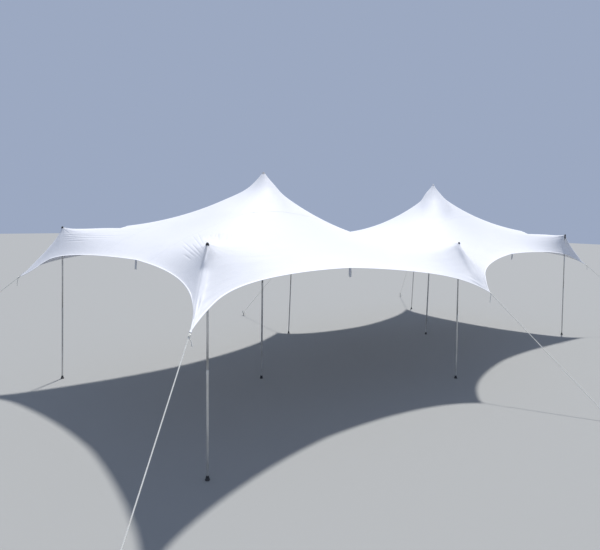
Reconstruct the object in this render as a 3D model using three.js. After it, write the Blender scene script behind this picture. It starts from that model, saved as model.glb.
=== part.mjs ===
// Stretch tent: one elastic canopy held up by six side poles and two centre poles, its tips
// tied down to ground stakes by guy ropes.
// Frame: millimetres, +Z up, ground at z = 0, +X along the long side, origin at the middle.
import * as THREE from 'three';

// Ground plan of the poles
const END_FOOT_X = 5000;
const SIDE_FOOT_Y = 2120;
const CENTRE_LEFT_FOOT = [-2526, 31];
const CENTRE_RIGHT_FOOT = [2456, 16];
const HEAD_INSET_X = 60;
const HEAD_INSET_Y = 80;

// Height of the canopy over each pole head
const HEIGHT_FRONT_LEFT = 2417;
const HEIGHT_FRONT_MIDDLE = 2322;
const HEIGHT_FRONT_RIGHT = 2385;
const HEIGHT_BACK_LEFT = 2460;
const HEIGHT_BACK_MIDDLE = 2400;
const HEIGHT_BACK_RIGHT = 2400;
const HEIGHT_CENTRE_LEFT = 3458;
const HEIGHT_CENTRE_RIGHT = 3520;

// Tips of the canopy, the stakes they are tied to, and how far the hem bows out beside each tip:
// on its left, on its right and along the end of the tent
const TIPS = {
  front_left: { tip: [-5583, -2761, 1743], stake: [-6840, -3630], bow: [0, 20, 2] },
  front_middle: { tip: [-211, -2727, 1579], stake: [-100, -4420], bow: [8, 14, 0] },
  front_right: { tip: [5674, -2308, 1671], stake: [6990, -3780], bow: [38, 0, 0] },
  back_left: { tip: [-5517, 2278, 1696], stake: [-6990, 3780], bow: [0, 16, 90] },
  back_middle: { tip: [450, 2600, 1750], stake: [450, 4420], bow: [8, 14, 0] },
  back_right: { tip: [5450, 2450, 1750], stake: [6680, 3700], bow: [38, 0, 0] },
};
const BOW_AT = 428;

// Canopy fabric, laid flat: half sizes, place of the pole rows, and its pull
const FLAT_HALF_X = 5615;
const FLAT_HALF_Y = 2908;
const FLAT_INSET_X = 1361;
const FLAT_INSET_Y = 1390;
const FLAT_CENTRE_X = 2500;
const PULL_LENGTHWISE = 0.828;
const HEM_PULL_LONG = 1615;
const HEM_PULL_LEFT = 541;
const HEM_PULL_RIGHT = 2072;
const RIDGE_PULL_CORNER = 21590;
const RIDGE_PULL_MIDDLE = 3337;
const STRAP_PULL = 339;
const FABRIC_WEIGHT = 0.214e-3;
const HEAD_PATCH = [
  { kind: 'centre', gain: 9.31, radius: 472 },
  { kind: 'side', gain: 13.91, radius: 270 },
  { kind: 'tip', gain: 3.53, radius: 1024 },
];
const CELLS_X = [5, 8, 9, 9, 8, 5];
const CELLS_Y = [5, 7, 7, 5];
const CANOPY_THICKNESS = 6;
const SEAM_ROW = 8;
const STRAP_ROW = 11;
const STRAP_COLUMN = 13;
const SEAM_GAP = 0.6;

// Hardware
const CLEAR = 0.3;
const SIDE_POLE_RADIUS = 12.5;
const CENTRE_POLE_RADIUS = 15;
const SIDE_HEAD_RADIUS = 18;
const CENTRE_HEAD_RADIUS = 28;
const FOOT_RADIUS = 26;
const FOOT_HEIGHT = 30;
const FOOT_RIM = 12;
const CAP_RADIUS = 15;
const CAP_HEIGHT = 16;
const ROPE_RADIUS = 5.5;
const KNOT_RADIUS = 15;
const KNOT_LENGTH = 56;
const HITCH_RADIUS = 11;
const HITCH_LENGTH = 60;
const HITCH_HEIGHT = 75;
const STAKE_RADIUS = 9;
const STAKE_HEIGHT = 130;
const STAKE_LEAN = 14;
const STRAP_WIDTH = 55;
const STRAP_LENGTH = 120;
const STRAP_THICKNESS = 6;

// How far sideways of the peak a pole head may sit, and what that costs against its height
const SEAT_SEARCH = 48;
const SEAT_STEP = 2;
const SIDEWAYS_COST = 3;
const STEEPEST = 0.001;

const material = (color, roughness, metalness) => (
  new THREE.MeshStandardMaterial({ color, roughness, metalness })
);
const FABRIC = material(0xf2f4fb, 0.75, 0);
const ALUMINIUM = material(0xa9adab, 0.42, 0.85);
const RUBBER = material(0x2c2f33, 0.8, 0);
const ROPE = material(0xe4e0cf, 0.85, 0);
const STEEL = material(0x6f7274, 0.5, 0.9);
const WEBBING = material(0xdfe3ea, 0.85, 0);

const vec = (x, y, z = 0) => new THREE.Vector3(x, y, z);

function steps(knots, cells) {
  const out = [knots[0]];
  cells.forEach((count, k) => {
    for (let n = 1; n <= count; n += 1) {
      out.push(knots[k] + ((knots[k + 1] - knots[k]) * n) / count);
    }
  });
  return out;
}

const running = (cells) => cells.reduce((sum, n) => [...sum, sum[sum.length - 1] + n], [0]);

// Rows and columns of the net that stands for the fabric
const sideX = FLAT_HALF_X - FLAT_INSET_X;
const sideY = FLAT_HALF_Y - FLAT_INSET_Y;
const U = steps([-FLAT_HALF_X, -sideX, -FLAT_CENTRE_X, 0, FLAT_CENTRE_X, sideX, FLAT_HALF_X], CELLS_X);
const V = steps([-FLAT_HALF_Y, -sideY, 0, sideY, FLAT_HALF_Y], CELLS_Y);
const CU = running(CELLS_X);
const CV = running(CELLS_Y);
const NU = U.length;
const NV = V.length;
const STRAP_COLUMNS = [STRAP_COLUMN, NU - 1 - STRAP_COLUMN];
const at = (i, j) => i * NV + j;

// A side pole leans in towards the middle of the tent; a centre pole stands upright
function sidePole(sx, sy, height) {
  const foot = [sx * END_FOOT_X, sy * SIDE_FOOT_Y];
  const top = [sx * (END_FOOT_X - HEAD_INSET_X), sy * (SIDE_FOOT_Y - HEAD_INSET_Y), height];
  return { kind: 'side', i: CU[3 + 2 * sx], j: CV[2 + sy], foot, top };
}

function centrePole(sx, foot, height) {
  return { kind: 'centre', i: CU[3 + sx], j: CV[2], foot, top: [...foot, height] };
}

const HEADS = {
  front_left: sidePole(-1, -1, HEIGHT_FRONT_LEFT),
  front_middle: sidePole(0, -1, HEIGHT_FRONT_MIDDLE),
  front_right: sidePole(1, -1, HEIGHT_FRONT_RIGHT),
  back_left: sidePole(-1, 1, HEIGHT_BACK_LEFT),
  back_middle: sidePole(0, 1, HEIGHT_BACK_MIDDLE),
  back_right: sidePole(1, 1, HEIGHT_BACK_RIGHT),
  centre_left: centrePole(-1, CENTRE_LEFT_FOOT, HEIGHT_CENTRE_LEFT),
  centre_right: centrePole(1, CENTRE_RIGHT_FOOT, HEIGHT_CENTRE_RIGHT),
};
const TIP_NODES = {
  front_left: [CU[0], CV[0]],
  front_middle: [CU[3], CV[0]],
  front_right: [CU[6], CV[0]],
  back_left: [CU[0], CV[4]],
  back_middle: [CU[3], CV[4]],
  back_right: [CU[6], CV[4]],
};

// The fabric is drawn tighter where it is doubled, round each head and tip
function stiffness(x, y) {
  let s = 1;
  const spots = [
    ...Object.values(HEADS).map((h) => [h.kind, h.i, h.j]),
    ...Object.values(TIP_NODES).map(([i, j]) => ['tip', i, j]),
  ];
  spots.forEach(([kind, i, j]) => {
    const patch = HEAD_PATCH.find((p) => p.kind === kind);
    const d2 = (x - U[i]) ** 2 + (y - V[j]) ** 2;
    s += patch.gain * Math.exp(-d2 / patch.radius ** 2);
  });
  return s;
}

// Finds the shape of the net at rest: every free node is in balance between its neighbours
function settleNet() {
  const gap = (list, k) => ((list[k + 1] ?? list[k]) - (list[k - 1] ?? list[k])) / 2;
  const links = [];
  for (let i = 0; i < NU; i += 1) {
    for (let j = 0; j < NV; j += 1) {
      if (i < NU - 1) {
        const du = U[i + 1] - U[i];
        let pull = (PULL_LENGTHWISE * gap(V, j) * stiffness((U[i] + U[i + 1]) / 2, V[j])) / du;
        if (j === 0 || j === NV - 1) pull += HEM_PULL_LONG / du;
        if (j === STRAP_ROW && (i < CELLS_X[0] || i >= CU[5])) pull += STRAP_PULL / du;
        links.push([at(i, j), at(i + 1, j), pull]);
      }
      if (j < NV - 1) {
        const dv = V[j + 1] - V[j];
        let pull = (gap(U, i) * stiffness(U[i], (V[j] + V[j + 1]) / 2)) / dv;
        const outside = j < CV[1] || j >= CV[3];
        if (i === 0) pull += HEM_PULL_LEFT / dv;
        if (i === NU - 1) pull += HEM_PULL_RIGHT / dv;
        if (i === CU[3] && outside) pull += RIDGE_PULL_MIDDLE / dv;
        if (STRAP_COLUMNS.includes(i) && outside) pull += STRAP_PULL / dv;
        links.push([at(i, j), at(i, j + 1), pull]);
      }
    }
  }
  const slant = Math.hypot(U[1] - U[0], V[1] - V[0]);
  ['front_left', 'front_right', 'back_left', 'back_right'].forEach((name) => {
    const [i, j] = TIP_NODES[name];
    const inward = (k) => at(i === 0 ? k : i - k, j === 0 ? k : j - k);
    for (let k = 0; k < CELLS_X[0]; k += 1) {
      links.push([inward(k), inward(k + 1), RIDGE_PULL_CORNER / slant]);
    }
  });

  const count = NU * NV;
  const held = new Array(count).fill(null);
  Object.values(HEADS).forEach((h) => { held[at(h.i, h.j)] = h.top; });
  Object.entries(TIP_NODES).forEach(([name, [i, j]]) => { held[at(i, j)] = TIPS[name].tip; });
  const load = new Float64Array(count);
  for (let i = 0; i < NU; i += 1) {
    for (let j = 0; j < NV; j += 1) load[at(i, j)] = -FABRIC_WEIGHT * gap(U, i) * gap(V, j);
  }
  const axes = [0, 1, 2].map((axis) => solveAxis(links, held, axis, axis === 2 ? load : null));
  return Array.from({ length: count }, (_, n) => vec(axes[0][n], axes[1][n], axes[2][n]));
}

// Conjugate gradients on the balance of pulls along one axis
function solveAxis(links, held, axis, load) {
  const count = held.length;
  const x = new Float64Array(count);
  held.forEach((p, n) => { if (p) x[n] = p[axis]; });
  const apply = (v) => {
    const out = new Float64Array(count);
    links.forEach(([a, b, q]) => {
      const d = q * (v[a] - v[b]);
      out[a] += d;
      out[b] -= d;
    });
    held.forEach((p, n) => { if (p) out[n] = 0; });
    return out;
  };
  const r = apply(x).map((d, n) => (held[n] ? 0 : (load ? load[n] : 0) - d));
  const diagonal = new Float64Array(count);
  links.forEach(([a, b, q]) => {
    diagonal[a] += q;
    diagonal[b] += q;
  });
  const precondition = (v) => v.map((d, n) => d / diagonal[n]);
  const dot = (a, b) => a.reduce((sum, d, n) => sum + d * b[n], 0);
  let z = precondition(r);
  const p = Float64Array.from(z);
  let rz = dot(r, z);
  for (let step = 0; step < 4000 && Math.sqrt(dot(r, r)) > 1e-7; step += 1) {
    const ap = apply(p);
    const alpha = rz / dot(p, ap);
    for (let n = 0; n < count; n += 1) {
      x[n] += alpha * p[n];
      r[n] -= alpha * ap[n];
    }
    z = precondition(r);
    const next = dot(r, z);
    for (let n = 0; n < count; n += 1) p[n] = z[n] + (next / rz) * p[n];
    rz = next;
  }
  return x;
}

// Doubled fabric holds the hem out beside the tips
function bowHems(net) {
  const bowed = net.map((p) => p.clone());
  const share = (d) => (d > 0 ? (d / BOW_AT) * Math.exp((1 - (d / BOW_AT) ** 2) / 2) : 0);
  const push = (edge, inner, amount) => {
    bowed[edge].addScaledVector(net[edge].clone().sub(net[inner]).normalize(), amount);
  };
  Object.entries(TIPS).forEach(([name, { bow: [left, right, end] }]) => {
    const [ti, tj] = TIP_NODES[name];
    const innerRow = tj === 0 ? 1 : NV - 2;
    const innerColumn = ti === 0 ? 1 : NU - 2;
    for (let i = 0; i < NU; i += 1) {
      push(at(i, tj), at(i, innerRow), left * share(U[ti] - U[i]) + right * share(U[i] - U[ti]));
    }
    for (let j = 0; end && j < NV; j += 1) {
      push(at(ti, j), at(innerColumn, j), end * share(Math.abs(V[j] - V[tj])));
    }
  });
  return bowed;
}

const NET = bowHems(settleNet());
const node = (i, j) => NET[at(i, j)];

// Upward normals of the net at its nodes
const NORMALS = (() => {
  const out = NET.map(() => vec(0, 0, 0));
  for (let i = 0; i < NU - 1; i += 1) {
    for (let j = 0; j < NV - 1; j += 1) {
      splitCell(i, j).forEach(([a, b, c]) => {
        const n = NET[b].clone().sub(NET[a]).cross(NET[c].clone().sub(NET[a]));
        const unit = n.clone().normalize();
        [a, b, c].forEach((k) => out[k].add(unit));
      });
    }
  }
  return out.map((n) => n.normalize());
})();

// Each cell is cut along the diagonal that runs towards its corner of the canopy
function splitCell(i, j) {
  const rising = (i < CU[3]) === (j < CV[2]);
  const [a, b, c, d] = [at(i, j), at(i + 1, j), at(i + 1, j + 1), at(i, j + 1)];
  return rising ? [[a, b, c], [a, c, d]] : [[a, b, d], [b, c, d]];
}

function mesh(name, geometry, material) {
  const out = new THREE.Mesh(geometry, material);
  out.name = name;
  return out;
}

function solid(points, faces) {
  const geometry = new THREE.BufferGeometry();
  const numbers = points.flatMap((p) => p.toArray());
  geometry.setAttribute('position', new THREE.Float32BufferAttribute(numbers, 3));
  geometry.setIndex(faces.flat());
  geometry.computeVertexNormals();
  return geometry;
}

// One sewn panel of the canopy, from net column i0 to i1 and row j0 to j1
function canopyPanel(i0, i1, j0, j1) {
  const wide = j1 - j0 + 1;
  const local = (i, j) => (i - i0) * wide + (j - j0);
  const count = (i1 - i0 + 1) * wide;
  const top = [];
  const under = [];
  for (let i = i0; i <= i1; i += 1) {
    for (let j = j0; j <= j1; j += 1) {
      const p = node(i, j).clone();
      const shrink = (edge, di, dj) => {
        if (!edge) return;
        const along = node(Math.min(i + Math.abs(dj), NU - 1), Math.min(j + Math.abs(di), NV - 1)).clone();
        along.sub(node(Math.max(i - Math.abs(dj), 0), Math.max(j - Math.abs(di), 0))).normalize();
        const step = node(i + di, j + dj).clone().sub(node(i, j));
        step.addScaledVector(along, -step.dot(along));
        p.add(step.setLength(SEAM_GAP / 2));
      };
      shrink(i === i0 && i > 0, 1, 0);
      shrink(i === i1 && i < NU - 1, -1, 0);
      shrink(j === j0 && j > 0, 0, 1);
      shrink(j === j1 && j < NV - 1, 0, -1);
      const half = NORMALS[at(i, j)].clone().multiplyScalar(CANOPY_THICKNESS / 2);
      top.push(p.clone().add(half));
      under.push(p.clone().sub(half));
    }
  }
  const faces = [];
  for (let i = i0; i < i1; i += 1) {
    for (let j = j0; j < j1; j += 1) {
      splitCell(i, j).forEach((tri) => {
        const [a, b, c] = tri.map((k) => local(Math.floor(k / NV), k % NV));
        faces.push([a, b, c], [count + a, count + c, count + b]);
      });
    }
  }
  const wall = (a, b) => faces.push([a, count + a, count + b], [a, count + b, b]);
  const backWall = (a, b) => faces.push([a, count + a, b], [count + a, count + b, b]);
  for (let i = i0; i < i1; i += 1) {
    wall(local(i, j0), local(i + 1, j0));
    backWall(local(i + 1, j1), local(i, j1));
  }
  for (let j = j0; j < j1; j += 1) {
    wall(local(i1, j), local(i1, j + 1));
    backWall(local(i0, j + 1), local(i0, j));
  }
  return solid([...top, ...under], faces);
}

// A turned piece about a line from a to b; the profile gives [distance along, radius] pairs
function turned(a, b, profile, sides) {
  const outline = profile.map(([along, radius]) => new THREE.Vector2(radius, along));
  const geometry = new THREE.LatheGeometry(outline, sides);
  const axis = b.clone().sub(a).normalize();
  geometry.applyQuaternion(new THREE.Quaternion().setFromUnitVectors(vec(0, 1, 0), axis));
  return geometry.translate(a.x, a.y, a.z);
}

// The pole's own shape, standing on the origin, with the middle of its round head at that length
function poleShape(kind, length, axis) {
  const radius = kind === 'centre' ? CENTRE_POLE_RADIUS : SIDE_POLE_RADIUS;
  const ball = kind === 'centre' ? CENTRE_HEAD_RADIUS : SIDE_HEAD_RADIUS;
  const profile = [[0, 0], [0, radius], [length - 1.6 * ball, radius], [length - 0.6 * ball, ball * 0.8]];
  for (let k = 0; k <= 4; k += 1) {
    const angle = (k / 4) * (Math.PI / 2);
    profile.push([length + ball * Math.sin(angle), k === 4 ? 0 : ball * Math.cos(angle)]);
  }
  return turned(vec(0, 0, 0), axis, profile, 16);
}

// Where the middle of the round head lies, relative to the peak, when it just clears the fabric
function seatUnder(head, base) {
  const apex = at(head.i, head.j);
  const under = (k) => NET[k].clone().addScaledVector(NORMALS[k], -CANOPY_THICKNESS / 2);
  const peak = under(apex);
  const planes = [];
  [head.i - 1, head.i].forEach((i) => {
    [head.j - 1, head.j].forEach((j) => {
      splitCell(i, j).filter((tri) => tri.includes(apex)).forEach((tri) => {
        const [a, b, c] = tri.map(under);
        planes.push(b.sub(a).cross(c.sub(a)).normalize());
      });
    });
  });
  const axis = NET[apex].clone().sub(base).normalize();
  const stub = 4 * CENTRE_HEAD_RADIUS;
  const corners = poleShape(head.kind, stub, axis).getAttribute('position');
  const point = vec(0, 0, 0);
  const reach = planes.map((n) => {
    let most = 0;
    for (let k = 0; k < corners.count; k += 1) {
      most = Math.max(most, point.fromBufferAttribute(corners, k).addScaledVector(axis, -stub).dot(n));
    }
    return most + CLEAR;
  });
  let best = null;
  for (let dx = -SEAT_SEARCH; dx <= SEAT_SEARCH; dx += SEAT_STEP) {
    for (let dy = -SEAT_SEARCH; dy <= SEAT_SEARCH; dy += SEAT_STEP) {
      const drops = planes.map((n, k) => (reach[k] + n.x * dx + n.y * dy) / Math.max(n.z, STEEPEST));
      const drop = Math.max(...drops);
      const score = drop + SIDEWAYS_COST * Math.hypot(dx, dy);
      if (!best || score < best.score) best = { score, seat: peak.clone().add(vec(dx, dy, -drop)) };
    }
  }
  return best.seat;
}

function pole(name, head) {
  const base = vec(head.foot[0], head.foot[1], FOOT_HEIGHT);
  const centre = seatUnder(head, base);
  const axis = centre.clone().sub(base).normalize();
  const radius = head.kind === 'centre' ? CENTRE_POLE_RADIUS : SIDE_POLE_RADIUS;
  base.z += CLEAR + radius * Math.hypot(axis.x, axis.y);
  const length = centre.distanceTo(base);
  const shape = poleShape(head.kind, length, centre.clone().sub(base).normalize());
  return mesh(`${name}_pole`, shape.translate(base.x, base.y, base.z), ALUMINIUM);
}

function foot(name, head) {
  const bottom = vec(head.foot[0], head.foot[1], 0);
  const shoulder = [FOOT_HEIGHT, FOOT_RADIUS * 0.8];
  const profile = [[0, 0], [0, FOOT_RADIUS], [FOOT_RIM, FOOT_RADIUS], shoulder, [FOOT_HEIGHT, 0]];
  return mesh(`${name}_foot`, turned(bottom, bottom.clone().setZ(1), profile, 24), RUBBER);
}

function headCap(name, head) {
  const base = node(head.i, head.j).clone();
  base.z += CANOPY_THICKNESS / 2 + CLEAR;
  const [side, shoulder] = [[CAP_HEIGHT * 0.55, CAP_RADIUS], [CAP_HEIGHT * 0.85, CAP_RADIUS * 0.7]];
  const profile = [[0, 0], [0, CAP_RADIUS], side, shoulder, [CAP_HEIGHT, 0]];
  return mesh(`${name}_head_cap`, turned(base, base.clone().add(vec(0, 0, 1)), profile, 12), RUBBER);
}

// A guy rope: a knot at the canopy tip, a straight run, and a hitch at the stake
function guyRope(name, start, end) {
  const run = end.distanceTo(start);
  const profile = [[0, 0], [0, ROPE_RADIUS]];
  profile.push([KNOT_LENGTH * 0.15, KNOT_RADIUS * 0.8], [KNOT_LENGTH * 0.45, KNOT_RADIUS]);
  profile.push([KNOT_LENGTH * 0.75, KNOT_RADIUS * 0.75], [KNOT_LENGTH, ROPE_RADIUS]);
  profile.push([run - HITCH_LENGTH, ROPE_RADIUS], [run - HITCH_LENGTH * 0.75, HITCH_RADIUS]);
  profile.push([run - HITCH_LENGTH * 0.25, HITCH_RADIUS], [run, ROPE_RADIUS], [run, 0]);
  return mesh(`${name}_guy_rope`, turned(start, end, profile, 8), ROPE);
}

// Stakes lean away from the tent
function stakeAxis(place) {
  const lean = THREE.MathUtils.degToRad(STAKE_LEAN);
  const sideways = Math.abs(place[0]) > END_FOOT_X ? Math.sign(place[0]) : 0;
  const outward = vec(sideways, Math.sign(place[1])).normalize();
  return outward.multiplyScalar(Math.sin(lean)).setZ(Math.cos(lean));
}

// A round bar cut level at the ground and at its top
function stake(name, place) {
  const axis = stakeAxis(place);
  const shape = new THREE.CylinderGeometry(STAKE_RADIUS, STAKE_RADIUS, STAKE_HEIGHT, 24);
  shape.rotateX(Math.PI / 2).translate(0, 0, STAKE_HEIGHT / 2);
  const shear = new THREE.Matrix4().set(
    1, 0, axis.x / axis.z, place[0],
    0, 1, axis.y / axis.z, place[1],
    0, 0, 1, 0,
    0, 0, 0, 1,
  );
  return mesh(`${name}_stake`, shape.applyMatrix4(shear), STEEL);
}

// The rope and the stake of one tip
function anchor(name, { tip, stake: place }) {
  const [i, j] = TIP_NODES[name];
  const tipPoint = vec(...tip);
  const axis = stakeAxis(place);
  const hitch = vec(place[0], place[1]).addScaledVector(axis, HITCH_HEIGHT / axis.z);
  const unit = hitch.clone().sub(tipPoint).normalize();
  const halfFabric = (CANOPY_THICKNESS / 2) * Math.abs(NORMALS[at(i, j)].dot(unit));
  const start = tipPoint.addScaledVector(unit, halfFabric + CLEAR);
  const cosine = Math.abs(unit.dot(axis));
  const sine = Math.sqrt(1 - cosine ** 2);
  const end = hitch.addScaledVector(unit, -(STAKE_RADIUS + CLEAR + ROPE_RADIUS * cosine) / sine);
  return [guyRope(name, start, end), stake(name, place)];
}

// A short webbing strap that hangs from the hem, midway between two tips
function hangingStrap(name, i, j) {
  const ends = i === 0 || i === NU - 1 ? [[i, j - 1], [i, j + 1]] : [[i - 1, j], [i + 1, j]];
  const [before, after] = ends.map(([a, b]) => node(a, b));
  const along = after.clone().sub(before).normalize();
  const hem = node(i, j).clone().addScaledVector(NORMALS[at(i, j)], -CANOPY_THICKNESS / 2);
  const sag = [before, after].map((p, k) => {
    const slope = p.clone().sub(node(i, j)).normalize();
    return (along.z * (k ? 1 : -1) - slope.z) * (STRAP_WIDTH / 2);
  });
  const top = hem.z - Math.max(0, ...sag) - CLEAR;
  const upright = vec(0, 0, 1);
  const sideways = upright.clone().cross(along).normalize();
  const shape = new THREE.BoxGeometry(STRAP_WIDTH, STRAP_THICKNESS, STRAP_LENGTH);
  shape.translate(0, 0, -STRAP_LENGTH / 2);
  const place = new THREE.Matrix4().makeBasis(along, sideways, upright).setPosition(hem.x, hem.y, top);
  return mesh(`${name}_strap`, shape.applyMatrix4(place), WEBBING);
}

function stretchTent() {
  const tent = new THREE.Group();
  tent.name = 'stretch_tent';

  const columns = [0, CU[2], CU[3], CU[4], NU - 1];
  const rows = [0, SEAM_ROW, NV - 1 - SEAM_ROW, NV - 1];
  const across = ['front', 'middle', 'back'];
  const lengthwise = ['left_end', 'left_centre', 'right_centre', 'right_end'];
  rows.slice(1).forEach((j1, b) => {
    columns.slice(1).forEach((i1, a) => {
      const shape = canopyPanel(columns[a], i1, rows[b], j1);
      tent.add(mesh(`canopy_${across[b]}_${lengthwise[a]}`, shape, FABRIC));
    });
  });

  Object.entries(HEADS).forEach(([name, head]) => {
    tent.add(pole(name, head), foot(name, head));
    if (head.kind === 'side') tent.add(headCap(name, head));
  });
  Object.entries(TIPS).forEach(([name, place]) => tent.add(...anchor(name, place)));

  tent.add(hangingStrap('left_side', 0, STRAP_ROW));
  tent.add(hangingStrap('right_side', NU - 1, STRAP_ROW));
  [['front', 0], ['back', NV - 1]].forEach(([side, j]) => {
    ['left', 'right'].forEach((half, k) => {
      tent.add(hangingStrap(`${side}_${half}`, STRAP_COLUMNS[k], j));
    });
  });
  return tent;
}

export default stretchTent();
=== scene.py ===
"""Looks of the stretch tent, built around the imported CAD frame. Metres, +Z up, ground at z = 0."""
import math

import bpy
import numpy as np
from mathutils import Matrix, Vector


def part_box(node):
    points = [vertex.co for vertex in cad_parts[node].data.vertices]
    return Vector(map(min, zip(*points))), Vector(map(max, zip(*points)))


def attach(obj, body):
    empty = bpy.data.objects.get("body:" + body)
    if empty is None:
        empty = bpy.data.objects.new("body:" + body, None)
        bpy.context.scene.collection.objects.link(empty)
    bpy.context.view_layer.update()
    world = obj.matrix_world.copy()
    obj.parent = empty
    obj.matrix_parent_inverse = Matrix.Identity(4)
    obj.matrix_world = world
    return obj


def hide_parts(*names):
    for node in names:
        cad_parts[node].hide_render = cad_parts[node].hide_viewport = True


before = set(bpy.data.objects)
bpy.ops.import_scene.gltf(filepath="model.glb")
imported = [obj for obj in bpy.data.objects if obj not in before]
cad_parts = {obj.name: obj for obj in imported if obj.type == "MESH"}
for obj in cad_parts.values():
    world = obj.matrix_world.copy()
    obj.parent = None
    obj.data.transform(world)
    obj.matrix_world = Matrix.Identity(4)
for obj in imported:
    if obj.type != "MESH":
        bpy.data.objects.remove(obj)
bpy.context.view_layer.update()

# Camera, as found from the photograph's own perspective
CAMERA_AT = (-7.698, -6.239, 2.704)
CAMERA_TURN = math.radians(-43.842)
CAMERA_DOWN = math.radians(6.712)
CAMERA_ROLL = math.radians(1.106)
CAMERA_LENS = 30.0
SENSOR = 36.0

# The canopy's net of fabric: half sizes laid flat, place of the pole rows, pulls
HALF_X, HALF_Y = 5.615, 2.908
INSET_X, INSET_Y = 1.361, 1.39
CENTRE_X = 2.5
CELLS_X = (5, 8, 9, 9, 8, 5)
CELLS_Y = (5, 7, 7, 5)
PULL_LENGTHWISE = 0.828
HEM_PULL = {"long": 1.615, "left": 0.541, "right": 2.072}
RIDGE_PULL = {"corner": 21.59, "middle": 3.337}
STRAP_PULL = 0.339
STRAP_ROW = 11
STRAP_COLUMN = 13
LOAD = 0.214
PATCHES = {"centre": (9.31, 0.472), "side": (13.91, 0.270), "tip": (3.53, 1.024)}

# Each pole head: its kind, its place along and across the net, and where the cloth comes to over it
HEADS = {
    "front_left": ("side", 1, 1, (-4.94, -2.04, 2.417)),
    "front_middle": ("side", 3, 1, (0.0, -2.04, 2.322)),
    "front_right": ("side", 5, 1, (4.94, -2.04, 2.385)),
    "back_left": ("side", 1, 3, (-4.94, 2.04, 2.460)),
    "back_middle": ("side", 3, 3, (0.0, 2.04, 2.40)),
    "back_right": ("side", 5, 3, (4.94, 2.04, 2.40)),
    "centre_left": ("centre", 2, 2, (-2.526, 0.031, 3.458)),
    "centre_right": ("centre", 4, 2, (2.456, 0.016, 3.520)),
}
# Each drawn-out point: its place along and across the net, and where it is held
TIPS = {
    "front_left": (0, 0, (-5.583, -2.761, 1.743)),
    "front_middle": (3, 0, (-0.211, -2.727, 1.579)),
    "front_right": (6, 0, (5.674, -2.308, 1.671)),
    "back_left": (0, 4, (-5.517, 2.278, 1.696)),
    "back_middle": (3, 4, (0.45, 2.60, 1.75)),
    "back_right": (6, 4, (5.45, 2.45, 1.75)),
}
# How far the hem bows out beside each tip: on its left, on its right and along the tent's end
BOWS = {
    "front_left": (0, 0.020, 0.002),
    "front_middle": (0.008, 0.014, 0),
    "front_right": (0.038, 0, 0),
    "back_left": (0, -0.010, 0.108),
    "back_middle": (0.008, 0.014, 0),
    "back_right": (0.038, 0, 0),
}
BOW_AT = 0.428

# How far the cloth stops short of each peak that the net comes to
SINK = {"centre_left": 0.065, "centre_right": 0.032, "front_left": 0.003, "front_middle": 0.012}
# The cone of cloth under each peak: its radius as a constant, a share of its depth and one of its square
CONES = {"centre_left": (0.004, 0.68, 0.9), "centre_right": (0.001, 0.50, 1.25)}
# A cone is full down to the first depth and gone at the second, or that much deeper on the front left side
CONE_FULL, CONE_GONE, CONE_DEEPER = 0.16, 0.42, 0.4
FRONT_LEFT = (-0.707, -0.707)
CONE_REACH = 1.0
CONE_TIP = 0.02
PEAKS = {n: (*HEADS[n][3][:2], HEADS[n][3][2] - SINK[n]) for n in CONES}

CLOTH = 0.003
HEM_WIDTH = 0.013
HEM_RISE = 0.0008
SEAM_Y = 0.67
SEAM_WIDTH = 0.011
SEAM_RISE = 0.0006
SEAM_SUNK = 0.0003
PATCH_RADIUS = 0.13
PATCH_THICK = 0.0012
PATCH_SUNK = 0.0002
BALL = {"side": 0.013, "centre": 0.0155}
TUBE = {"side": 0.0125, "centre": 0.015}
OVER_BALL = CLOTH / 2 + PATCH_THICK + 0.001
CLOTH_EASE = 0.003
TUBE_REACH = 0.06
SUNLIGHT = (-0.353, -0.157, -1.0)
FLOOR_SIZE = 60.0


def add_object(name, data):
    obj = bpy.data.objects.new(name, data)
    bpy.context.scene.collection.objects.link(obj)
    return obj


def make_camera():
    data = bpy.data.cameras.new("camera")
    data.lens, data.sensor_width = CAMERA_LENS, SENSOR
    data.clip_start, data.clip_end = 0.05, 500
    cam = add_object("camera", data)
    turn = (Matrix.Rotation(CAMERA_TURN, 4, "Z") @ Matrix.Rotation(math.pi / 2 - CAMERA_DOWN, 4, "X")
            @ Matrix.Rotation(CAMERA_ROLL, 4, "Z"))
    cam.matrix_world = Matrix.Translation(CAMERA_AT) @ turn
    bpy.context.scene.camera = cam


make_camera()


# Node helpers

def new_material(name):
    mat = bpy.data.materials.new(name)
    mat.use_nodes = True
    tree = mat.node_tree
    tree.nodes.clear()
    out = tree.nodes.new("ShaderNodeOutputMaterial")
    shader = tree.nodes.new("ShaderNodeBsdfPrincipled")
    tree.links.new(shader.outputs[0], out.inputs[0])
    return mat, tree, shader, out


def feed(tree, socket, value):
    if isinstance(value, bpy.types.NodeSocket):
        tree.links.new(value, socket)
    else:
        socket.default_value = value


def node(tree, kind, inputs=None, **settings):
    made = tree.nodes.new("ShaderNode" + kind)
    for key, value in settings.items():
        setattr(made, key, value)
    for key, value in (inputs or {}).items():
        feed(tree, made.inputs[key], value)
    return made


def ramp(tree, source, stops):
    made = node(tree, "ValToRGB", {"Fac": source})
    elements = made.color_ramp.elements
    while len(elements) < len(stops):
        elements.new(0.5)
    for element, (at, colour) in zip(elements, stops):
        element.position = at
        element.color = (*colour, 1)
    return made.outputs[0]


def noise(tree, vector, scale, detail, rough):
    inputs = {"Vector": vector, "Scale": scale, "Detail": detail, "Roughness": rough}
    return node(tree, "TexNoise", inputs).outputs[0]


def greys(tree, source, *stops):
    return ramp(tree, source, [(at, (value,) * 3) for at, value in stops])


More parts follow.
